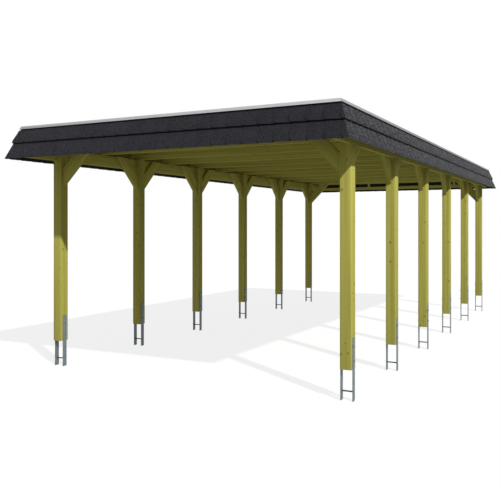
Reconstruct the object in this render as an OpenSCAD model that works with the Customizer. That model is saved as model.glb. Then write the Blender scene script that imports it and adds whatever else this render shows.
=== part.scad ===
// Open carport: two rows of six timber posts on galvanised H-anchors, rebated
// side beams with knee braces, rafters, a flat boarded roof, and a sloped
// two-course shingle fascia that runs round all four sides with mitred hips.
// X runs across, Y runs along with the front at -Y, and Z is up from the
// lower ends of the anchors.

/* [Roof outline] */
// Width over the bottom edges of the side fascias
roof_w = 4090; // [4000:10:4600]
// Length over the bottom edges of the end fascias
roof_l = 8700; // [8400:10:9600]

/* [Posts] */
// Side of the square post
post_size = 115; // [100:1:130]
// Height of a post, from its foot to the underside of the rafters
post_h = 2270; // [2000:10:2600]
// Distance between the centre lines of the two rows
row_w = 3605; // [3000:5:3680]
// Distance between neighbouring posts of a row
post_pitch = 1490; // [1300:5:1540]

/* [Ground anchors] */
// Width of an anchor's flat bar
bar_w = 60; // [40:1:80]
// Thickness of an anchor's flat bar
bar_t = 6; // [4:0.5:10]
// Length of the bar that lies on the post
bar_lap = 300; // [200:10:400]
// Length of the bar below the foot of the post
bar_drop = 300; // [200:10:400]
// Diameter of the round rung between the bars
rung_d = 14; // [8:1:18]
// Height of the rung above the ends of the bars
rung_z = 90; // [40:5:160]

/* [Beams and braces] */
// Height of a side beam
beam_h = 140; // [100:5:180]
// Thickness of a side beam, let into the outer side of the posts
beam_t = 45; // [30:1:55]
// Width of the knee brace's plank
brace_w = 140; // [100:5:160]
// Thickness of the knee brace's plank
brace_t = 45; // [30:1:55]
// Drop from the rafters to the lowest point of a knee brace
brace_drop = 430; // [340:5:520]

/* [Rafters and deck] */
// Height of a rafter
rafter_h = 120; // [100:5:160]
// Thickness of a rafter
rafter_t = 60; // [45:1:80]
// Thickness of the boards that close the rafters' ends on the long sides
edge_t = 20; // [15:1:30]
// Thickness of the roof boards
deck_t = 20; // [16:1:28]
// Width that one roof board covers
board_cover = 121; // [90:1:150]
// Depth of the V-joint under two neighbouring roof boards
board_joint = 4; // [2:0.5:6]

/* [Fascia] */
// Drop from the rafters to the bottom edge of the fascia
fascia_drop = 158; // [130:1:200]
// Lean of the fascia from upright, in degrees
fascia_tilt = 21; // [15:0.5:26]
// Thickness of a fascia course
course_t = 14; // [8:1:20]
// Height of the lower course that stays in view
lower_show = 172; // [150:1:190]
// Height by which the upper course covers the lower one
course_lap = 40; // [20:1:60]
// Rise of the upper course above the roof boards
course_rise = 24; // [15:1:50]

/* [Battens and hangers] */
// Distance of the batten from the fascia's bottom edge, along the slope
batten_up = 46; // [20:1:60]
// Width of the batten behind the fascia's bottom edge
batten_w = 65; // [50:1:75]
// Thickness of the batten and of its hangers
batten_t = 20; // [15:1:30]
// Width of a hanger at the front and rear
hanger_w = 45; // [30:1:60]
// Distance between the hangers at the front and rear
hanger_pitch = 610; // [400:10:660]

/* [Roof edge] */
// Height of the dark gap between the upper course and the trim's drip edge
trim_gap = 12; // [6:1:20]
// Height of the metal edge trim
trim_h = 32; // [25:1:50]
// Sheet thickness of the edge trim
trim_t = 2.5; // [1.5:0.5:4]
// Setback of the trim's top edge from the top edge of the fascia
trim_step = 14; // [12:1:20]
// Kick-out of the trim's drip edge
trim_flare = 12; // [3:1:12]
// Depth of the trim's inner lip
trim_lip = 18; // [10:1:22]
// Width of the timber kerb under the trim
kerb_w = 60; // [40:1:90]
// Thickness of the roof membrane
membrane_t = 3; // [1:0.5:5]

/* [Hidden] */
$fn = 48;

posts_per_row = 6;
hangers_each_way = 2;
ends = ["front", "rear"];
sides = ["left", "right"];

// Amount by which a cut runs past the face that it opens
over = 1;

timber = "#8f8a42";
shingle = "#45444a";
galvanised = "#98a2ab";
aluminium = "#b4b6b8";
rubber = "#2c2c2e";

half_post = post_size / 2;
row_x = row_w / 2;
first_y = -(posts_per_row - 1) * post_pitch / 2;
rafter_places = [for (i = [0 : 2 * (posts_per_row - 1)]) first_y + i * post_pitch / 2];
half_l = roof_l / 2;
half_w = roof_w / 2;

// Levels, from the ground up
foot_z = bar_drop;
rafter_z = foot_z + post_h;
beam_z = rafter_z - beam_h;
fascia_z = rafter_z - fascia_drop;
lap_z = fascia_z + lower_show;
deck_z = rafter_z + rafter_h;
deck_top = deck_z + deck_t;
course_top = deck_top + course_rise;
drip_z = course_top + trim_gap;
trim_top = drip_z + trim_h;
kerb_top = trim_top - trim_t - membrane_t;

// Planes that run parallel to the fascia, counted inwards from the face of the lower course
face_plane = 0;
back_plane = course_t;
edge_plane = course_t + edge_t;
batten_plane = course_t + batten_t;

// Insets of the roof edge's pieces from the bottom edge of the fascia
trim_in = slope_in(course_top, -course_t) + trim_step;
strip_out = trim_in + trim_t;
kerb_out = strip_out + membrane_t;
kerb_in = kerb_out + kerb_w;
strip_in = kerb_in + membrane_t;
deck_in = slope_in(deck_top, face_plane);
mitre_depth = strip_in + trim_t + over;

// Inset, at height z, of the plane that lies at depth n behind the face of the lower course
function slope_in(z, n) = (z - fascia_z) * tan(fascia_tilt) + n / cos(fascia_tilt);

// Inset and height of a point s up the slope and n deep into it
function on_slope(s, n) = [
    s * sin(fascia_tilt) + n * cos(fascia_tilt),
    fascia_z + s * cos(fascia_tilt) - n * sin(fascia_tilt)
];

// Outline between two levels and two planes parallel to the fascia, cut level at top and bottom
function sloped_board(z0, z1, n0, n1) = [
    [slope_in(z0, n0), z0], [slope_in(z0, n1), z0],
    [slope_in(z1, n1), z1], [slope_in(z1, n0), z1]
];

// Outline of a timber between two levels whose two ends lean with the fascia
function leaning_ends(half, z0, z1, n) = [
    [-half + slope_in(z0, n), z0], [half - slope_in(z0, n), z0],
    [half - slope_in(z1, n), z1], [-half + slope_in(z1, n), z1]
];

function post_y(i) = first_y + (i - 1) * post_pitch;

// Puts a piece made for the front edge, inset along +Y, on one of the four sides
module at_side(side) {
    turn = side == "front" ? 0 : side == "right" ? 90 : side == "rear" ? 180 : 270;
    reach = side == "front" || side == "rear" ? half_l : half_w;
    rotate([0, 0, turn]) translate([0, -reach, 0]) children();
}

function side_length(side) = side == "front" || side == "rear" ? roof_w : roof_l;

// Sweeps an outline of inset and height along X
module sweep_x(outline, length) {
    translate([-length / 2, 0, 0]) rotate([90, 0, 90]) linear_extrude(length) polygon(outline);
}

// Runs an outline round one side of the roof, mitred at both hips
module mitred_run(outline, side) {
    length = side_length(side);
    end = length / 2;
    at_side(side) intersection() {
        sweep_x(outline, length);
        linear_extrude(trim_top + over)
            polygon([[-end, 0], [end, 0], [end - mitre_depth, mitre_depth], [mitre_depth - end, mitre_depth]]);
    }
}

// Sweeps an outline of X and height along Y, about a place on Y
module sweep_y(outline, y, thickness) {
    translate([0, y + thickness / 2, 0]) rotate([90, 0, 0]) linear_extrude(thickness) polygon(outline);
}

// Square post with a rebate at its head, on the outer side, that takes the beam
module post(row, i) {
    color(timber) translate([row * row_x, post_y(i), foot_z]) difference() {
        translate([-half_post, -half_post, 0]) cube([post_size, post_size, post_h]);
        translate([row > 0 ? half_post - beam_t : -half_post - over, -half_post - over, post_h - beam_h])
            cube([beam_t + over, post_size + 2 * over, beam_h + over]);
    }
}

// Two flat bars on opposite faces of the post, welded to one round rung below its foot
module anchor(row, i) {
    translate([row * row_x, post_y(i), 0]) {
        for (face = [-1, 1])
            translate([face * (half_post + bar_t / 2), 0, (bar_drop + bar_lap) / 2])
                cube([bar_t, bar_w, bar_drop + bar_lap], center = true);
        translate([0, 0, rung_z]) rotate([0, 90, 0]) cylinder(d = rung_d, h = post_size + bar_t, center = true);
    }
}

module anchors(row) {
    color(galvanised) for (i = [1:posts_per_row]) anchor(row, i);
}

// Side beam in the rebates of a row, its ends bevelled to lie behind the battens
module beam(row) {
    x = row * (row_x + half_post - beam_t / 2);
    color(timber) translate([x, 0, 0]) rotate([0, 0, 90])
        sweep_y(leaning_ends(half_l, beam_z, rafter_z, batten_plane), 0, beam_t);
}

// Outline of a 45 degree knee brace that springs from a post's face at 0 and ends under the rafters
function brace_outline() = [
    [0, rafter_z - brace_drop],
    [brace_drop, rafter_z],
    [brace_drop - brace_w * sqrt(2), rafter_z],
    [0, rafter_z - brace_drop + brace_w * sqrt(2)]
];

// Knee braces along a row, on the inner face of the beam, towards each neighbouring post
module braces(row) {
    x = row * (row_x + half_post - beam_t - brace_t / 2);
    color(timber) for (i = [1:posts_per_row], way = [-1, 1])
        if (i + way >= 1 && i + way <= posts_per_row)
            translate([x, post_y(i) + way * half_post, 0]) rotate([0, 0, way * 90])
                sweep_y(brace_outline(), 0, brace_t);
}

// Knee braces across the bay, one at each corner post, under the rafter there
module corner_braces() {
    color(timber) for (row = [-1, 1], i = [1, posts_per_row])
        translate([row * (row_x - half_post), post_y(i), 0]) rotate([0, 0, row > 0 ? 180 : 0])
            sweep_y(brace_outline(), 0, brace_t);
}

// Rafters over every post and in the middle of every bay, their ends cut to the fascia's slope
module rafters() {
    color(timber) for (y = rafter_places)
        sweep_y(leaning_ends(half_w, rafter_z, deck_z, edge_plane), y, rafter_t);
}

// Timber at the height of the rafters that leans against the back of one side's fascia
module leaning_timber(side, thickness, end_plane) {
    length = side_length(side);
    at_side(side) intersection() {
        sweep_x(sloped_board(rafter_z, deck_z, back_plane, back_plane + thickness), length);
        sweep_y(leaning_ends(length / 2, rafter_z, deck_z, end_plane), half_w / 2, half_w);
    }
}

// Leaning rafters that close the front and rear ends of the roof
module end_rafters() {
    color(timber) for (side = ends) leaning_timber(side, rafter_t, edge_plane);
}

// Boards on the rafters' ends that carry the side fascias
module edge_boards() {
    color(timber) for (side = sides) leaning_timber(side, edge_t, back_plane);
}

// Boarded deck on the rafters, out to the back of the upper course, with V-joints between its boards
module roof_boards() {
    half_deck = half_w - deck_in;
    rows = round(2 * half_deck / board_cover);
    joints = [for (i = [1 : rows - 1]) (2 * i / rows - 1) * half_deck];
    color(timber) sweep_y([
        [-half_deck, deck_top], [-half_deck, deck_z],
        for (x = joints) each [[x - board_joint, deck_z], [x, deck_z + board_joint], [x + board_joint, deck_z]],
        [half_deck, deck_z], [half_deck, deck_top]
    ], 0, roof_l - 2 * deck_in);
}

// Batten that stiffens the fascia's bottom edge from behind
module batten(side) {
    color(timber) mitred_run([
        on_slope(batten_up, back_plane), on_slope(batten_up, batten_plane),
        on_slope(batten_up + batten_w, batten_plane), on_slope(batten_up + batten_w, back_plane)
    ], side);
}

// Block from the top edge of the batten up to the underside of a rafter
module hanger(x, width) {
    translate([x, 0, 0]) sweep_x([
        on_slope(batten_up + batten_w, back_plane), on_slope(batten_up + batten_w, batten_plane),
        [slope_in(rafter_z, batten_plane), rafter_z], [slope_in(rafter_z, back_plane), rafter_z]
    ], width);
}

module end_hangers() {
    color(timber) for (side = ends, i = [-hangers_each_way:hangers_each_way])
        at_side(side) hanger(i * hanger_pitch, hanger_w);
}

module side_hangers() {
    color(timber) for (side = sides, y = rafter_places)
        at_side(side) hanger(y, rafter_t);
}

// Lower fascia course, from the bottom edge to the top of its lap
module lower_course(side) {
    color(shingle) mitred_run(sloped_board(fascia_z, lap_z + course_lap, face_plane, back_plane), side);
}

// Upper fascia course, which laps over the lower one and ends under the trim
module upper_course(side) {
    color(shingle) mitred_run(sloped_board(lap_z, course_top, -course_t, face_plane), side);
}

// Timber kerb on the edge of the deck, behind and above the upper course
module kerb(side) {
    color(timber) mitred_run([
        [deck_in, deck_top], [kerb_in, deck_top], [kerb_in, kerb_top], [kerb_out, kerb_top],
        [kerb_out, course_top], [slope_in(course_top, face_plane), course_top]
    ], side);
}

// Roof membrane, laid on the boards between the kerbs
module roof_membrane() {
    color(rubber) translate([kerb_in - half_w, kerb_in - half_l, deck_top])
        cube([roof_w - 2 * kerb_in, roof_l - 2 * kerb_in, membrane_t]);
}

// Membrane strips turned up the kerbs, over their tops and down to the upper course
module upstands(where) {
    strip_top = kerb_top + membrane_t;
    color(rubber) for (side = where) mitred_run([
        [strip_out, course_top], [kerb_out, course_top], [kerb_out, kerb_top], [kerb_in, kerb_top],
        [kerb_in, deck_top + membrane_t], [strip_in, deck_top + membrane_t],
        [strip_in, strip_top], [strip_out, strip_top]
    ], side);
}

// Folded metal edge trim with a kicked-out drip edge and a lip over the turned-up membrane
module trim(side) {
    lip_in = strip_in + trim_t;
    lip_z = trim_top - trim_lip;
    kick_z = drip_z + trim_h / 2;
    color(aluminium) mitred_run([
        [trim_in - trim_flare, drip_z], [strip_out - trim_flare, drip_z],
        [strip_out, kick_z], [strip_out, trim_top - trim_t], [strip_in, trim_top - trim_t],
        [strip_in, lip_z], [lip_in, lip_z], [lip_in, trim_top],
        [trim_in, trim_top], [trim_in, kick_z]
    ], side);
}

for (i = [1:posts_per_row]) {
    post(-1, i);
    post(1, i);
}
anchors(-1);  // anchors_left
anchors(1);  // anchors_right
beam(-1);  // beam_left
beam(1);  // beam_right
braces(-1);  // braces_left
braces(1);  // braces_right
corner_braces();
rafters();
end_rafters();
edge_boards();
roof_boards();
end_hangers();
side_hangers();
roof_membrane();
upstands(ends);  // end_upstands
upstands(sides);  // side_upstands
for (side = concat(ends, sides)) {
    batten(side);
    lower_course(side);
    upper_course(side);
    kerb(side);
    trim(side);
}
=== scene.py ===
"""An open timber carport with a sloped dark fascia: the looks of its pieces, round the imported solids."""

import math
import random

import bmesh
import bpy
from mathutils import Matrix, Vector


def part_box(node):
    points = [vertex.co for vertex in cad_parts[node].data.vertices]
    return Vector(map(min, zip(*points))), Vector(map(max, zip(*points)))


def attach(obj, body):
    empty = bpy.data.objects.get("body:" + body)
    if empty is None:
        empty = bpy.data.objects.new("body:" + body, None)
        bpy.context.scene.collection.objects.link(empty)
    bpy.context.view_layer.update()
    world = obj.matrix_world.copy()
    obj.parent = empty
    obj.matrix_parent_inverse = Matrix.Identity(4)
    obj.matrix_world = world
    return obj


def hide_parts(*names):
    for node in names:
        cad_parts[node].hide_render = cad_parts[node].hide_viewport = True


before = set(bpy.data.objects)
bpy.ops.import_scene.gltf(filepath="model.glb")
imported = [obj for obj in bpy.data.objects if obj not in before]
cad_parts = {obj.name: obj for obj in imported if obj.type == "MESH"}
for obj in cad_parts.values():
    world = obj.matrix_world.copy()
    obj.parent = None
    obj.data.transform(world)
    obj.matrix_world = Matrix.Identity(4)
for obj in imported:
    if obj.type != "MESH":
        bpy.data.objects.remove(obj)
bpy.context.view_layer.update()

# Ground anchors
# Each post stands in an H-anchor of hot-dip galvanised steel: two flat bars on opposite faces of the
# post, welded to one round rung below its foot and drawn against the wood by hexagon bolts.
MM = 0.001
ROWS = ("left", "right")
POSTS_PER_ROW = sum(name.startswith("post_left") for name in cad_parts)

first_post_low, first_post_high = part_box("post_left_1")
last_post_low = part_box(f"post_left_{POSTS_PER_ROW}")[0]
anchors_low, anchors_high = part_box("anchors_left")
post_size = first_post_high.x - first_post_low.x
row_length = last_post_low.y - first_post_low.y
bar_t = first_post_low.x - anchors_low.x
bar_w = anchors_high.y - anchors_low.y - row_length
bar_edge = 1.0 * MM
rung_d = 14 * MM
rung_z = 90 * MM
rung_edge = 0.5 * MM
weld_r = 3 * MM
weld_smooth = 60
bolt_across = 17 * MM
bolt_head = 6.5 * MM
bolt_sides = 6
bolt_edge = 0.7 * MM
bolt_heights = (80 * MM, 220 * MM)
washer_d = 24 * MM
washer_t = 2 * MM
washer_edge = 0.4 * MM
round_sides = 24
sharp_edge = math.radians(30)
smooth_under = 35


def linear(code):
    """Turns an sRGB hex colour into linear red, green, blue and alpha."""
    channels = [int(code[i:i + 2], 16) / 255 for i in (1, 3, 5)]
    return [c / 12.92 if c <= 0.04045 else ((c + 0.055) / 1.055) ** 2.4 for c in channels] + [1.0]


def add(tree, kind, inputs=None, out=None, **settings):
    """Adds a node, sets or links its inputs, and returns one of its outputs."""
    node = tree.nodes.new("ShaderNode" + kind)
    for name, value in settings.items():
        setattr(node, name, value)
    for name, value in (inputs or {}).items():
        by_name = [s for s in node.inputs if s.enabled and s.name == name]
        socket = by_name[0] if by_name else node.inputs[name]
        if isinstance(value, bpy.types.NodeSocket):
            tree.links.new(value, socket)
        else:
            socket.default_value = value
    if out:
        return node.outputs[out]
    return next((s for s in node.outputs if s.enabled), None)


def new_material(name):
    """Starts a material with an empty node tree."""
    material = bpy.data.materials.new(name)
    material.use_nodes = True
    material.node_tree.nodes.clear()
    return material, material.node_tree


def select_only(*pieces):
    """Selects these pieces and nothing else, and makes the first of them the active one."""
    bpy.ops.object.select_all(action="DESELECT")
    for piece in pieces:
        piece.select_set(True)
    if pieces:
        bpy.context.view_layer.objects.active = pieces[0]


def settled():
    """Puts the place, turn and scale of the selected piece into its mesh."""
    bpy.ops.object.transform_apply(location=True, rotation=True, scale=True)
    return bpy.context.object


def box_between(low, high):
    """Adds a cube primitive that fills the space between two corners."""
    low, high = Vector(low), Vector(high)
    select_only()
    bpy.ops.mesh.primitive_cube_add(size=1, location=(low + high) / 2, scale=high - low)
    return settled()


def open_mesh(piece):
    """Opens one piece in edit mode with all of its mesh selected."""
    select_only(piece)
    bpy.ops.object.mode_set(mode="EDIT")
    bpy.ops.mesh.select_all(action="SELECT")


def choose(kind, test):
    """In edit mode, selects only the faces or edges that pass a test."""
    bpy.ops.mesh.select_mode(type=kind)
    bpy.ops.mesh.select_all(action="DESELECT")
    mesh = bmesh.from_edit_mesh(bpy.context.object.data)
    for part in mesh.faces if kind == "FACE" else mesh.edges:
        part.select_set(test(part))
    bmesh.update_edit_mesh(bpy.context.object.data)


def close_mesh(angle=smooth_under):
    """Leaves edit mode, with faces that meet at less than an angle shaded as one."""
    bpy.ops.object.mode_set(mode="OBJECT")
    bpy.ops.object.shade_smooth_by_angle(angle=math.radians(angle))
    return bpy.context.object


def copy_of(piece, move):
    """Copies a piece with a mesh of its own, moved in that mesh."""
    select_only(piece)
    bpy.ops.object.duplicate()
    bpy.ops.transform.translate(value=move)
    return settled()


def joined(pieces, name):
    """Joins pieces into the first of them and names it."""
    select_only(*pieces)
    bpy.ops.object.join()
    pieces[0].name = pieces[0].data.name = name
    return pieces[0]


def coat(piece, material):
    """Gives a piece one material all over."""
    piece.data.materials.clear()
    piece.data.materials.append(material)
    return piece


def dress(piece, slot, *nodes):
    """Puts a finished piece in the place of its nodes."""
    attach(piece, "root")
    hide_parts(*nodes)


def round_x(radius, depth, centre, sides):
    """Adds a round or many-sided bar that lies along X."""
    select_only()
    bpy.ops.mesh.primitive_cylinder_add(
        vertices=sides, radius=radius, depth=depth, location=centre, rotation=(0, math.pi / 2, 0))
    return settled()


def round_edges(width):
    """In edit mode, rounds every sharp edge."""
    choose("EDGE", lambda edge: edge.calc_face_angle(0) > sharp_edge)
    bpy.ops.mesh.bevel(offset=width, segments=2, affect="EDGES")


def soften(piece, width):
    """Rounds every sharp edge of a finished piece."""
    open_mesh(piece)
    round_edges(width)
    return close_mesh()


def anchor(zinc, dark_steel):
    """Models one anchor about the axis of a post, with its parts welded and bolted up."""
    half = post_size / 2
    rung = soften(round_x(rung_d / 2, post_size + bar_t, (0, 0, rung_z), round_sides), rung_edge)
    parts = []
    for face in (-1, 1):
        inner, outer = sorted((face * half, face * (half + bar_t)), key=abs)
        low_x, high_x = sorted((inner, outer))
        bar = box_between((low_x, -bar_w / 2, 0), (high_x, bar_w / 2, anchors_high.z))
        parts.append(soften(bar, bar_edge))
        select_only()
        bpy.ops.mesh.primitive_torus_add(
            major_radius=rung_d / 2 + weld_r / 3, minor_radius=weld_r,
            major_segments=round_sides, minor_segments=8,
            location=(inner, 0, rung_z), rotation=(0, math.pi / 2, 0))
        open_mesh(settled())
        parts.append(close_mesh(weld_smooth))
        for height in bolt_heights:
            z = first_post_low.z + height
            seat = (outer + face * washer_t / 2, 0, z)
            parts.append(soften(round_x(washer_d / 2, washer_t, seat, round_sides), washer_edge))
            head = (outer + face * (washer_t + bolt_head / 2), 0, z)
            hexagon = round_x(bolt_across / math.sqrt(3), bolt_head, head, bolt_sides)
            parts.append(soften(hexagon, bolt_edge))
    return joined([coat(rung, dark_steel)] + [coat(part, zinc) for part in parts], "anchor")


def galvanised_steel():
    """Hot-dip galvanised mild steel: a dull grey zinc skin with patches of crystal spangle."""
    spangle_size = 9 * MM
    streak_size = 40 * MM
    material, tree = new_material("hot_dip_galvanised_steel")
    place = add(tree, "TexCoord", out="Object")
    spangle = add(tree, "TexVoronoi", {"Vector": place, "Scale": 1 / spangle_size}, out="Color")
    grey = add(tree, "SeparateColor", {"Color": spangle}, out="Red")
    streak = add(tree, "TexNoise", {"Vector": place, "Scale": 1 / streak_size, "Detail": 3.0}, out="Fac")
    shade = add(tree, "Math", {0: grey, 1: streak}, operation="MULTIPLY")
    zinc = add(tree, "Mix", {
        "Factor": shade, "A": linear("#646e70"), "B": linear("#8a9697")}, data_type="RGBA")
    rough = add(tree, "MapRange", {"Value": grey, "To Min": 0.42, "To Max": 0.58})
    dent = add(tree, "Bump", {"Height": streak, "Strength": 0.25, "Distance": 0.4 * MM})
    shader = add(tree, "BsdfPrincipled", {
        "Base Color": zinc, "Metallic": 0.3, "Roughness": rough, "Normal": dent})
    add(tree, "OutputMaterial", {"Surface": shader})
    return material


def dark_rung_steel():
    """Round bar steel for the rung: dark grey, mottled by noise, darker than the zinc of the bars."""
    mottle_size = 12 * MM
    material, tree = new_material("dark_grey_rung_steel")
    place = add(tree, "TexCoord", out="Object")
    scale = add(tree, "TexNoise", {"Vector": place, "Scale": 1 / mottle_size, "Detail": 4.0}, out="Fac")
    steel = add(tree, "Mix", {
        "Factor": scale, "A": linear("#26272a"), "B": linear("#4b4c4b")}, data_type="RGBA")
    pits = add(tree, "Bump", {"Height": scale, "Strength": 0.3, "Distance": 0.3 * MM})
    shader = add(tree, "BsdfPrincipled", {
        "Base Color": steel, "Metallic": 0.3, "Roughness": 0.6, "Normal": pits})
    add(tree, "OutputMaterial", {"Surface": shader})
    return material


pattern_anchor = anchor(galvanised_steel(), dark_rung_steel())
for row in ROWS:
    row_anchors = []
    for number in range(1, POSTS_PER_ROW + 1):
        post_low, post_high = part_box(f"post_{row}_{number}")
        axis = (post_low + post_high) / 2
        row_anchors.append(copy_of(pattern_anchor, (axis.x, axis.y, 0)))
    dress(joined(row_anchors, f"anchors_{row}_steel"), "galvanised_steel", f"anchors_{row}")
bpy.data.objects.remove(pattern_anchor)

# Posts
# Square posts of glued pine, three lamellae each, planed with broken arrises and pressure-treated
# to an olive green. Each head is rebated on the outer side, and the side beam lies in that rebate.
post_arris = 4 * MM
post_end_arris = 1.5 * MM
lamellae = 3
post_knots = 0.55
heart_near = 30 * MM
heart_far = 100 * MM
heart_side = 90 * MM
log_length = 40
tone_spread = 0.05
flat_within = math.radians(1)
square_edge = math.radians(60)
facing = 0.9
log = random.Random(11)


def lay_grain(board, knotty, painted_shade_factor=1.0, lamella_of=None):
    """Stores where each corner of a board lies in its log, x and y across the fibres and z along
    them, how pale that board is and how much its knots show. Each lamella comes from another log. The
    lie of the fibres is rounded and pointed one way, so that every run gives the same grain."""
    mesh = board.data
    ends = [[mesh.vertices[index].co for index in edge.vertices] for edge in mesh.edges]
    longest = max((start - end for start, end in ends), key=lambda span: span.length).normalized()
    along = Vector([round(part, 4) for part in longest]).normalized()
    if next(part for part in along if part) < 0:
        along.negate()
    across = along.orthogonal().normalized()
    deep = along.cross(across)
    middle = sum((v.co for v in mesh.vertices), Vector()) / len(mesh.vertices)
    grain = mesh.attributes.new("grain", "FLOAT_VECTOR", "CORNER")
    tone = mesh.attributes.new("tone", "FLOAT", "FACE")
    knots = mesh.attributes.new("knots", "FLOAT", "FACE")
    keys = [lamella_of(face.center) if lamella_of else 0 for face in mesh.polygons]
    logs = {}
    for key in sorted(set(keys)):
        heart = Vector((log.uniform(heart_near, heart_far), log.uniform(-heart_side, heart_side),
                        log.uniform(0, log_length)))
        # A factor below 1 darkens the whole board as painted shade; boards that are not darkened get 1.
        logs[key] = (heart, painted_shade_factor * log.uniform(1 - tone_spread, 1 + tone_spread))
    for face, key in zip(mesh.polygons, keys):
        heart, shade = logs[key]
        tone.data[face.index].value = shade
        knots.data[face.index].value = knotty
        for corner in face.loop_indices:
            place = mesh.vertices[mesh.loops[corner].vertex_index].co - middle
            in_log = Vector((place.dot(across), place.dot(deep), place.dot(along)))
            grain.data[corner].vector = heart + in_log


def treated_pine():
    """Pressure-treated pine, planed: olive green from the copper salts, with darker late wood, long
    streaks and brown knots. The annual rings are drawn at twice their width so that they show.
    The wave texture turns by wave_radians over each unit, which sets its scale for one ring_gap."""
    ring_gap = 6 * MM
    wander_size = 110 * MM
    streak_size = 24 * MM
    fibre_size = 1.6 * MM
    knot_cell = (85 * MM, 85 * MM, 230 * MM)
    knot_r = 20 * MM
    knot_swirl = 20.0
    ring_draw = 0.06
    fibre_draw = 0.015
    ring_wander = 50 * MM
    late_share = 0.55
    ring_relief = 0.6
    wave_radians = 20
    material, tree = new_material("pressure_treated_pine")
    board = add(tree, "Attribute", out="Vector", attribute_name="grain")
    tone = add(tree, "Attribute", out="Fac", attribute_name="tone")
    knotty = add(tree, "Attribute", out="Fac", attribute_name="knots")
    drawn_out = add(tree, "Mapping", {"Vector": board, "Scale": (1, 1, ring_draw)})
    drawn_long = add(tree, "Mapping", {"Vector": board, "Scale": (1, 1, fibre_draw)})

    cell = add(tree, "Mapping", {"Vector": board, "Scale": [1 / size for size in knot_cell]})
    knot_centre = add(tree, "TexVoronoi", {"Vector": cell, "Scale": 1.0}, out="Position")
    from_knot = add(tree, "VectorMath", {0: cell, 1: knot_centre}, operation="SUBTRACT")
    from_knot = add(tree, "VectorMath", {0: from_knot, 1: knot_cell}, operation="MULTIPLY")
    distance = add(tree, "VectorMath", {0: from_knot}, operation="LENGTH")
    knot = add(tree, "MapRange", {"Value": distance, "From Min": knot_r, "From Max": 0.4 * knot_r},
               interpolation_type="SMOOTHSTEP")
    swirl = add(tree, "MapRange", {
        "Value": distance, "From Min": 5 * knot_r, "From Max": 0.0, "To Max": knot_swirl},
        interpolation_type="SMOOTHSTEP")

    wander = add(tree, "TexNoise", {
        "Vector": drawn_out, "Scale": 1 / wander_size, "Detail": 2.0}, out="Color")
    bent = add(tree, "VectorMath", {
        0: wander, 1: (ring_wander, ring_wander, 0), 2: drawn_out}, operation="MULTIPLY_ADD")
    rings = add(tree, "TexWave", {
        "Vector": bent, "Scale": math.tau / (wave_radians * ring_gap), "Distortion": 1.2, "Detail": 2.0,
        "Phase Offset": swirl}, out="Fac", wave_type="RINGS", rings_direction="Z", wave_profile="SAW")
    streak = add(tree, "TexNoise", {
        "Vector": drawn_long, "Scale": 1 / streak_size, "Detail": 3.0}, out="Fac")
    fibre = add(tree, "TexNoise", {
        "Vector": drawn_long, "Scale": 1 / fibre_size, "Detail": 2.0}, out="Fac")

    late = add(tree, "Math", {0: rings, 1: late_share}, operation="MULTIPLY")
    wood = add(tree, "Mix", {
        "Factor": late, "A": linear("#beb95c"), "B": linear("#9a9540")}, data_type="RGBA")
    dark = add(tree, "MapRange", {"Value": streak, "From Min": 0.42, "From Max": 0.72, "To Max": 0.55})
    wood = add(tree, "Mix", {
        "Factor": dark, "A": wood, "B": linear("#8e8734")}, data_type="RGBA")
    wood = add(tree, "HueSaturation", {"Color": wood, "Value": tone})
    knot = add(tree, "Math", {0: knot, 1: knotty}, operation="MULTIPLY")
    wood = add(tree, "Mix", {
        "Factor": knot, "A": wood, "B": linear("#5d4b22")}, data_type="RGBA")

    relief = add(tree, "Math", {0: rings, 1: ring_relief, 2: fibre}, operation="MULTIPLY_ADD")
    bump = add(tree, "Bump", {"Height": relief, "Strength": 0.3, "Distance": 0.4 * MM})
    shader = add(tree, "BsdfPrincipled", {
        "Base Color": wood, "Roughness": 0.75, "Specular IOR Level": 0.04, "Normal": bump})
    add(tree, "OutputMaterial", {"Surface": shader})
    return material


def upright(edge):
    """Tells whether an edge stands on end."""
    return abs((edge.verts[0].co - edge.verts[1].co).normalized().z) > facing


def glued_post(low, high, beam_low, beam_high):
    """Models a post: a square shaft whose head is raised beside the rebate that takes the beam."""
    rebate_z = beam_low.z
    outer_is_low = beam_low.x < (low.x + high.x) / 2
    rebate_x = beam_high.x if outer_is_low else beam_low.x
    post = box_between(low, (high.x, high.y, rebate_z))
    open_mesh(post)
    bpy.ops.mesh.bisect(plane_co=(rebate_x, 0, 0), plane_no=(1, 0, 0))
    choose("FACE", lambda face: face.normal.z > facing
           and (face.calc_center_median().x > rebate_x) == outer_is_low)
    bpy.ops.mesh.extrude_region_move(TRANSFORM_OT_translate={"value": (0, 0, high.z - rebate_z)})
    bpy.ops.mesh.select_all(action="SELECT")
    bpy.ops.mesh.dissolve_limited(angle_limit=flat_within)
    choose("EDGE", lambda edge: upright(edge) and edge.is_convex)
    bpy.ops.mesh.bevel(offset=post_arris, segments=3, affect="EDGES")
    choose("EDGE", lambda edge: edge.is_convex and edge.calc_face_angle(0) > square_edge)
    bpy.ops.mesh.bevel(offset=post_end_arris, segments=2, affect="EDGES")
    for joint in range(1, lamellae):
        bpy.ops.mesh.select_all(action="SELECT")
        bpy.ops.mesh.bisect(plane_co=(low.x + joint * post_size / lamellae, 0, 0), plane_no=(1, 0, 0))
    return close_mesh()


pine = treated_pine()
for row in ROWS:
    beam_low, beam_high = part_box(f"beam_{row}")
    for number in range(1, POSTS_PER_ROW + 1):
        post_low, post_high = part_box(f"post_{row}_{number}")
        if number == 1:
            row_low = post_low
            pattern_post = glued_post(post_low, post_high, beam_low, beam_high)
        post = copy_of(pattern_post, post_low - row_low)
        post.name = post.data.name = f"post_{row}_{number}_glued"
        lay_grain(post, post_knots, lamella_of=lambda place: min(
            int((place.x - row_low.x) / post_size * lamellae), lamellae - 1))
        dress(coat(post, pine), "treated_timber", f"post_{row}_{number}")
    bpy.data.objects.remove(pattern_post)

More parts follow.
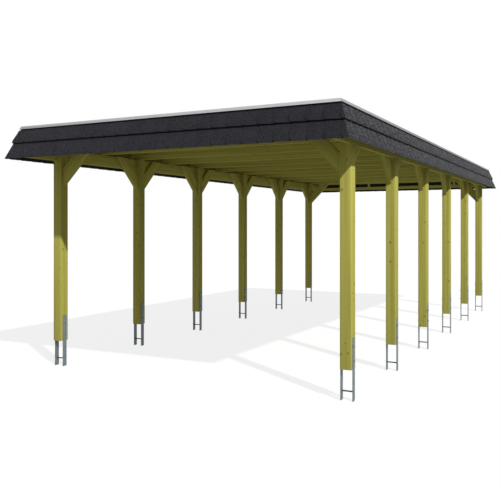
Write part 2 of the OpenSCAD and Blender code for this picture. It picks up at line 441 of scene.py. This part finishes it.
# Side beams and knee braces
# A planed beam of treated pine lies in the rebates of each row. Knee braces at 45 degrees, sawn from
# plank and nailed on, stiffen it at every post along the row, and the four corner posts across the bay.
beam_arris = 3 * MM
brace_arris = 2.5 * MM
sorted_knots = 0.3
merge_within = 0.01 * MM


def open_copy(node, name):
    """Copies a node's solids and opens the copy in edit mode, with its loose triangles merged."""
    piece = bpy.data.objects.new(name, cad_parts[node].data.copy())
    bpy.context.scene.collection.objects.link(piece)
    open_mesh(piece)
    bpy.ops.mesh.customdata_custom_splitnormals_clear()
    bpy.ops.mesh.remove_doubles(threshold=merge_within)
    bpy.ops.mesh.dissolve_limited(angle_limit=flat_within)
    return piece


def planed_copy(node, arris, painted_shade_factor=1.0):
    """Copies a node's timbers, planes off every arris and gives each timber a grain of its own along
    its longest edge."""
    timbers = open_copy(node, f"{node}_planed")
    bpy.ops.mesh.bevel(offset=arris, segments=2, affect="EDGES")
    bpy.ops.mesh.separate(type="LOOSE")
    close_mesh()
    parts = [timbers] + [part for part in bpy.context.selected_objects if part != timbers]
    parts.sort(key=lambda part: [
        round(min(v.co[axis] for v in part.data.vertices), 3) for axis in range(3)])
    for part in parts:
        lay_grain(part, sorted_knots, painted_shade_factor)
    return joined(parts, f"{node}_planed")


for row in ROWS:
    dress(coat(planed_copy(f"beam_{row}", beam_arris), pine), "treated_timber", f"beam_{row}")
for node in ("braces_left", "braces_right", "corner_braces"):
    dress(coat(planed_copy(node, brace_arris), pine), "treated_timber", node)

# Rafters
# Rafters of treated pine lie across both beams, over every post and midway between posts. Their ends
# are sawn to the slope of the fascia and closed by a sawn board, its wood darkened as painted shade
# for the deep shade behind the fascia. A leaning rafter closes each end.
rafter_arris = 3 * MM
# The edge boards' wood is darkened to half its tone: painted shade for the deep shade they stand in.
edge_board_painted_shade = 0.5
for node, painted_shade_factor in (("rafters", 1.0), ("end_rafters", 1.0), ("edge_boards", edge_board_painted_shade)):
    dress(coat(planed_copy(node, rafter_arris, painted_shade_factor), pine), "treated_timber", node)

# Roof boards
# Tongued and grooved boards run the length of the roof on the rafters. Each has a V-joint on its
# under side, and the boards of a row meet end to end over a rafter: row_breaks gives these places, in
# bays from the first post.
board_cover = 121 * MM
v_joint = 4 * MM
end_gap = 0.5 * MM
deck_low, deck_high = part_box("roof_boards")
board_rows = round((deck_high.x - deck_low.x) / board_cover)
board_w = (deck_high.x - deck_low.x) / board_rows
post_pitch = row_length / (POSTS_PER_ROW - 1)
first_rafter_y = (first_post_low.y + first_post_high.y) / 2
row_breaks = ((1.5, 4.0), (2.5,), (1.0, 3.5))


def roof_board(low, high):
    """Models one board with a chamfer along each lower edge."""
    board = box_between(low, high)
    open_mesh(board)
    choose("EDGE", lambda edge: all(v.co.z < low.z + MM for v in edge.verts)
           and abs(edge.verts[0].co.y - edge.verts[1].co.y) > 0.5 * (high.y - low.y))
    bpy.ops.mesh.bevel(offset=v_joint, segments=1, affect="EDGES")
    return close_mesh()


pattern_rows = []
for bays in row_breaks:
    stops = [deck_low.y] + [first_rafter_y + bay * post_pitch for bay in bays] + [deck_high.y]
    pattern_rows.append([
        roof_board(Vector((deck_low.x, start + end_gap, deck_low.z)),
                   Vector((deck_low.x + board_w, stop - end_gap, deck_high.z)))
        for start, stop in zip(stops, stops[1:])])
boards = []
for number in range(board_rows):
    for pattern_board in pattern_rows[number % len(pattern_rows)]:
        board = copy_of(pattern_board, (number * board_w, 0, 0))
        lay_grain(board, sorted_knots)
        boards.append(board)
for pattern_board in sum(pattern_rows, []):
    bpy.data.objects.remove(pattern_board)
dress(coat(joined(boards, "roof_boards_tongued"), pine), "treated_timber", "roof_boards")

# Battens, hangers and kerbs
# A batten stiffens the fascia's bottom edge from behind and hangs on short blocks from the rafters.
# A kerb on the edge of the boards carries the roof sheet over the top of the fascia.
batten_arris = 1.5 * MM
SIDES = ("front", "rear", "left", "right")
for node in [f"batten_{side}" for side in SIDES] + ["end_hangers", "side_hangers"]:
    dress(coat(planed_copy(node, batten_arris), pine), "treated_timber", node)
for side in SIDES:
    dress(coat(planed_copy(f"kerb_{side}", batten_arris), pine), "treated_timber", f"kerb_{side}")

# Fascia
# Two lapped courses of board lean outwards round the roof and meet in mitred hips. Each is clad with
# mineral-faced bitumen shingles that lap sideways, on the right side the other way, each with one
# round lower corner, as slates have.
board_edge = 1.5 * MM
shingle_pitch = 163.6 * MM
shingle_lap = 20 * MM
shingle_t = 4 * MM
shingle_fall = 8 * MM
shingle_press = 4 * MM
shingle_round = 44 * MM
shingle_edge = 1.5 * MM
bed_depth = 10 * MM
upper_shift = -31 * MM
upper_rise = 8 * MM
lap_hand = {"front": 1, "rear": 1, "left": 1, "right": -1}
lap_shade_band = 10 * MM
trim_shade_band = 6 * MM
up = Vector((0, 0, 1))


def edged_copy(node, edge, name, plane=None):
    """Copies a node's solids and rounds their sharp edges, after taking off what lies beyond a plane."""
    piece = open_copy(node, name)
    if plane:
        bpy.ops.mesh.bisect(plane_co=plane[0], plane_no=plane[1], use_fill=True, clear_outer=True)
    round_edges(edge)
    return close_mesh()


def shingle_row(foot, along, out, half_run, rise, height, shift, hand):
    """Models one shingle lying flat, with the lower corner of its proud side rounded and its other side
    lowered to go under the next, lays a row of them on the slope of a course and trims both hips."""
    low_side, high_side = sorted((0, hand * (shingle_pitch + shingle_lap)))
    row = box_between((low_side, rise, -shingle_t), (high_side, height, 0))
    open_mesh(row)
    choose("EDGE", lambda edge: all(abs(v.co.x) < MM and v.co.y < rise + MM for v in edge.verts))
    bpy.ops.mesh.bevel(offset=shingle_round, segments=8, affect="EDGES")
    choose("EDGE", lambda edge: all(abs(v.co.x) < MM and v.co.y > height - MM for v in edge.verts))
    bpy.ops.transform.translate(value=(0, 0, -shingle_press))
    choose("EDGE", lambda edge: all(face.normal.z > -facing for face in edge.link_faces)
           and any(face.normal.z > facing for face in edge.link_faces))
    bpy.ops.mesh.bevel(offset=shingle_edge, segments=2, affect="EDGES")
    close_mesh()
    row.rotation_euler.y = hand * math.atan(shingle_fall / shingle_pitch)
    settled()
    first = math.floor((-half_run - shift) / shingle_pitch) - 1
    lay = row.modifiers.new("lay", "ARRAY")
    lay.use_relative_offset = False
    lay.use_constant_offset = True
    lay.constant_offset_displace = (shingle_pitch, 0, 0)
    lay.count = math.ceil((half_run - shift) / shingle_pitch) - first + 1
    bpy.ops.object.modifier_apply(modifier="lay")
    turn = Matrix((along, out.cross(along), out)).transposed().to_4x4()
    row.matrix_world = Matrix.Translation(foot + (first * shingle_pitch + shift) * along) @ turn
    settled()
    open_mesh(row)
    for end in (-along, along):
        bpy.ops.mesh.select_all(action="SELECT")
        bpy.ops.mesh.bisect(plane_co=foot + half_run * end, plane_no=end + up.cross(along),
                            use_fill=True, clear_outer=True)
    return close_mesh()


def shingled_course(node, shift, rise, hand):
    """Makes a course: its board, thinned by the depth that the shingles take, and a row of them on it.
    The solid's leaning face, its only one between level and upright that looks up, gives the slope."""
    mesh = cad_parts[node].data
    low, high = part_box(node)
    out = next(face.normal.copy() for face in mesh.polygons if 1 - facing < face.normal.z < facing)
    along = up.cross(out).normalized()
    reach = max(v.co.dot(out) for v in mesh.vertices)
    skin = [v.co for v in mesh.vertices if v.co.dot(out) > reach - 0.1 * MM]
    edge = sorted((co for co in skin if co.z < low.z + MM), key=along.dot)
    foot = (edge[0] + edge[-1]) / 2
    half_run = (edge[-1] - edge[0]).length / 2
    height = (high.z - low.z) / out.cross(along).z
    board = edged_copy(node, board_edge, f"{node}_board", (foot - bed_depth * out, out))
    row = shingle_row(foot, along, out, half_run, rise, height, shift, hand)
    # The board is coated in black bitumen all over; where it shows below the shingles' lower edges, that
    # black is also painted shade.
    return joined([coat(row, granules), coat(board, bitumen)], f"{node}_clad")


def paint_shade_band_above(piece, level):
    """Paints a course black above a level, with bare bitumen in place of the granules: painted shade."""
    open_mesh(piece)
    bpy.ops.mesh.bisect(plane_co=(0, 0, level), plane_no=(0, 0, 1))
    close_mesh()
    for face in piece.data.polygons:
        if face.center.z > level:
            face.material_index = 1
    return piece


def mineral_bitumen():
    """Bitumen sheet faced with slate granules: near black, matt, with a fine sparkle of paler grit.
    The grit is drawn in clumps of several granules, longer along the roof, so that it shows."""
    granule = 2.5 * MM
    clump = 14 * MM
    clump_length = 55 * MM
    patch = 160 * MM
    grit_share = 0.35
    patch_share = 0.5
    grit_relief = 0.5
    material, tree = new_material("mineral_faced_bitumen")
    place = add(tree, "TexCoord", out="Object")
    grit = add(tree, "TexVoronoi", {"Vector": place, "Scale": 1 / granule}, out="Color")
    grit = add(tree, "SeparateColor", {"Color": grit}, out="Red")
    cell = add(tree, "Mapping", {"Vector": place, "Scale": (1 / clump, 1 / clump_length, 1 / clump)})
    clumps = add(tree, "TexNoise", {
        "Vector": cell, "Scale": 1.0, "Detail": 3.0, "Roughness": 0.75}, out="Fac")
    patches = add(tree, "TexNoise", {"Vector": place, "Scale": 1 / patch, "Detail": 2.0}, out="Fac")
    mix = add(tree, "Math", {0: grit, 1: grit_share, 2: clumps}, operation="MULTIPLY_ADD")
    mix = add(tree, "Math", {0: patches, 1: patch_share, 2: mix}, operation="MULTIPLY_ADD")
    pale = add(tree, "MapRange", {"Value": mix, "From Min": 0.4, "From Max": 1.45})
    slate = add(tree, "Mix", {
        "Factor": pale, "A": linear("#0e0e12"), "B": linear("#2e2e34")}, data_type="RGBA")
    rough = add(tree, "MapRange", {
        "Value": clumps, "From Min": 0.35, "From Max": 0.65, "To Min": 0.85, "To Max": 0.35})
    relief = add(tree, "Math", {0: grit, 1: grit_relief, 2: clumps}, operation="MULTIPLY_ADD")
    bump = add(tree, "Bump", {"Height": relief, "Strength": 1.0, "Distance": 2.5 * MM})
    shader = add(tree, "BsdfPrincipled", {
        "Base Color": slate, "Roughness": rough, "Specular IOR Level": 0.15, "Normal": bump})
    add(tree, "OutputMaterial", {"Surface": shader})
    return material


def bare_bitumen():
    """Bitumen without granules: black, with the soft gloss and the small pits of a poured surface."""
    pit_size = 8 * MM
    material, tree = new_material("bare_bitumen")
    place = add(tree, "TexCoord", out="Object")
    pits = add(tree, "TexNoise", {"Vector": place, "Scale": 1 / pit_size, "Detail": 3.0}, out="Fac")
    black = add(tree, "Mix", {
        "Factor": pits, "A": linear("#060607"), "B": linear("#121213")}, data_type="RGBA")
    bump = add(tree, "Bump", {"Height": pits, "Strength": 0.4, "Distance": 0.5 * MM})
    shader = add(tree, "BsdfPrincipled", {
        "Base Color": black, "Roughness": 0.6, "Specular IOR Level": 0.1, "Normal": bump})
    add(tree, "OutputMaterial", {"Surface": shader})
    return material


granules = mineral_bitumen()
bitumen = bare_bitumen()
for side in SIDES:
    lap_low, lap_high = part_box(f"upper_course_{side}")
    # Each lower course is painted black from just under the foot of the upper course upwards, and each
    # upper course along its top under the trim: both black bands are painted shade.
    courses = (("lower", 0.0, 0.0, lap_low.z - lap_shade_band),
               ("upper", upper_shift, upper_rise, lap_high.z - trim_shade_band))
    for course, shift, rise, shade_band_from in courses:
        node = f"{course}_course_{side}"
        clad = shingled_course(node, shift, rise, lap_hand[side])
        dress(paint_shade_band_above(clad, shade_band_from), "bitumen_shingle", node)

# Roof sheet
# One black rubber sheet lies loose on the boards, with the slight waves that such a sheet keeps, and
# strips of it are turned up the kerbs, over their tops and down to the fascia.
strip_edge = 1.0 * MM
wave_step = 70 * MM
wave_height = 5 * MM
wave_size = 450 * MM
wave_rest = 0.35
sheet_low, sheet_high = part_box("roof_membrane")


def roof_rubber():
    """Vulcanised rubber sheet: black, matt to satin, with a bloom of pale dust in soft patches."""
    dust_size = 350 * MM
    speck_size = 15 * MM
    material, tree = new_material("rubber_roof_sheet")
    place = add(tree, "TexCoord", out="Object")
    dust = add(tree, "TexNoise", {
        "Vector": place, "Scale": 1 / dust_size, "Detail": 5.0, "Roughness": 0.6}, out="Fac")
    specks = add(tree, "TexNoise", {"Vector": place, "Scale": 1 / speck_size, "Detail": 3.0}, out="Fac")
    bloom = add(tree, "Math", {0: dust, 1: specks}, operation="MULTIPLY")
    pale = add(tree, "MapRange", {"Value": bloom, "From Min": 0.15, "From Max": 0.45})
    black = add(tree, "Mix", {
        "Factor": pale, "A": linear("#161618"), "B": linear("#2e2e30")}, data_type="RGBA")
    rough = add(tree, "MapRange", {"Value": pale, "To Min": 0.55, "To Max": 0.8})
    bump = add(tree, "Bump", {"Height": specks, "Strength": 0.2, "Distance": 0.5 * MM})
    shader = add(tree, "BsdfPrincipled", {
        "Base Color": black, "Roughness": rough, "Specular IOR Level": 0.1, "Normal": bump})
    add(tree, "OutputMaterial", {"Surface": shader})
    return material


rubber = roof_rubber()
sheet_size = sheet_high - sheet_low
sheet_middle = (sheet_low + sheet_high) / 2
select_only()
bpy.ops.mesh.primitive_grid_add(
    size=1, location=(sheet_middle.x, sheet_middle.y, sheet_high.z),
    x_subdivisions=round(sheet_size.x / wave_step), y_subdivisions=round(sheet_size.y / wave_step))
bpy.ops.transform.resize(value=(sheet_size.x, sheet_size.y, 1))
sheet = settled()
sheet.name = sheet.data.name = "roof_membrane_sheet"
waves = bpy.data.textures.new("sheet_waves", "CLOUDS")
waves.noise_scale = wave_size
displace = sheet.modifiers.new("waves", "DISPLACE")
displace.texture = waves
displace.direction = "Z"
displace.strength = wave_height
displace.mid_level = wave_rest
thicken = sheet.modifiers.new("thickness", "SOLIDIFY")
thicken.thickness = sheet_size.z
for modifier in ("waves", "thickness"):
    bpy.ops.object.modifier_apply(modifier=modifier)
bpy.ops.object.shade_smooth_by_angle(angle=math.radians(smooth_under))
dress(coat(sheet, rubber), "roof_membrane", "roof_membrane")
for node in ("end_upstands", "side_upstands"):
    dress(coat(edged_copy(node, strip_edge, f"{node}_strips"), rubber), "roof_membrane", node)

# Edge trim
# A folded trim of mill-finish aluminium caps the kerb on all four sides, mitred at the corners. Its
# drip edge kicks out over the fascia, and a dark gap is left under it.
trim_edge = 0.6 * MM


def mill_aluminium():
    """Rolled aluminium, mill finish: pale grey with a soft sheen, duller where it is seen edge-on."""
    line_size = 3 * MM
    cloud_size = 250 * MM
    material, tree = new_material("mill_finish_aluminium")
    place = add(tree, "TexCoord", out="Object")
    lines = add(tree, "TexNoise", {"Vector": place, "Scale": 1 / line_size, "Detail": 2.0}, out="Fac")
    clouds = add(tree, "TexNoise", {"Vector": place, "Scale": 1 / cloud_size, "Detail": 4.0}, out="Fac")
    metal = add(tree, "Mix", {
        "Factor": clouds, "A": linear("#b0b2b4"), "B": linear("#c4c6c7")}, data_type="RGBA")
    rough = add(tree, "MapRange", {"Value": lines, "To Min": 0.34, "To Max": 0.46})
    shader = add(tree, "BsdfPrincipled", {
        "Base Color": metal, "Metallic": 1.0, "Roughness": rough, "Specular Tint": linear("#959595")})
    add(tree, "OutputMaterial", {"Surface": shader})
    return material


aluminium = mill_aluminium()
for side in SIDES:
    trim = coat(edged_copy(f"trim_{side}", trim_edge, f"trim_{side}_folded"), aluminium)
    dress(trim, "aluminium_trim", f"trim_{side}")

# Floor
# A plain pale floor at the level of the anchors' ends. To the eye it is white paper that keeps a faint
# shadow of the carport, and the even light of the surroundings comes through it from below.
floor_size = 400
floor_glow = 0.83
floor_shaded = "#767676"


def seen_white(tree):
    """Gives 1 to what the eye sees, also in metal and through glass, and 0 to what lights the object."""
    path = add(tree, "LightPath", out="Is Camera Ray").node.outputs
    seen = add(tree, "Math", {0: path["Is Camera Ray"], 1: path["Is Glossy Ray"]}, operation="MAXIMUM")
    return add(tree, "Math", {0: seen, 1: path["Is Transmission Ray"]}, operation="MAXIMUM")


def paper_floor():
    """Matt white paper: its own glow and a part that takes the shadow, both seen by the eye alone."""
    material, tree = new_material("matt_white_paper")
    glow = add(tree, "Emission", {"Color": (1, 1, 1, 1), "Strength": floor_glow})
    shaded = add(tree, "BsdfDiffuse", {"Color": linear(floor_shaded)})
    paper = add(tree, "AddShader", {0: glow, 1: shaded})
    through = add(tree, "BsdfTransparent")
    surface = add(tree, "MixShader", {0: seen_white(tree), 1: through, 2: paper})
    add(tree, "OutputMaterial", {"Surface": surface})
    return material


select_only()
bpy.ops.mesh.primitive_plane_add(size=floor_size)
floor = bpy.context.object
floor.name = "floor"
floor.data.materials.append(paper_floor())

# Light
# One sun from the front right, as high as in the photograph, a weak soft light from low in front, and
# a pale sky, brightest at the horizon, that fills the shade and shows as a white background.
to_sun = Vector((0.626, -0.418, 0.659))
sun_strength = 3.65
sun_angle = 1.5
to_reflector = Vector((0, -0.97, -0.24))
reflector_strength = 0.11
reflector_angle = 60
sky_tint = "#f0f0ff"
horizon_fill = 0.425
pole_fill = 0.215


def far_light(towards, strength, angle):
    """Adds a sun lamp that shines from one direction, with the softness that its angle gives."""
    bpy.ops.object.light_add(type="SUN", rotation=towards.to_track_quat("Z", "Y").to_euler())
    lamp = bpy.context.object.data
    lamp.energy = strength
    lamp.angle = math.radians(angle)


far_light(to_sun, sun_strength, sun_angle)
far_light(to_reflector, reflector_strength, reflector_angle)

sky = bpy.data.worlds.new("white_sky")
sky.use_nodes = True
air = sky.node_tree
air.nodes.clear()
height = add(air, "TexCoord", out="Generated")
height = add(air, "SeparateXYZ", {"Vector": height}, out="Z")
height = add(air, "Math", {0: height}, operation="ABSOLUTE")
level = add(air, "MapRange", {"Value": height, "To Min": horizon_fill, "To Max": pole_fill})
fill = add(air, "Background", {"Color": linear(sky_tint), "Strength": level})
white = add(air, "Background", {"Color": (1, 1, 1, 1), "Strength": 1.0})
both = add(air, "MixShader", {0: seen_white(air), 1: fill, 2: white})
add(air, "OutputWorld", {"Surface": both})
bpy.context.scene.world = sky

# Camera
# A level camera at eye height in front of the right-hand corner, turned towards the left row. The
# picture is a cut-out of a wider view, so its middle is off the lens axis.
eye = (3.977, -9.717, 1.659)
turn_left = 26.34
lens = 48.05
off_axis = (-0.0456, -0.0486)

bpy.ops.object.camera_add(location=eye, rotation=(math.pi / 2, 0, math.radians(turn_left)))
camera = bpy.context.object
camera.data.lens = lens
camera.data.shift_x, camera.data.shift_y = off_axis
bpy.context.scene.camera = camera
bpy.context.scene.view_settings.view_transform = "Standard"
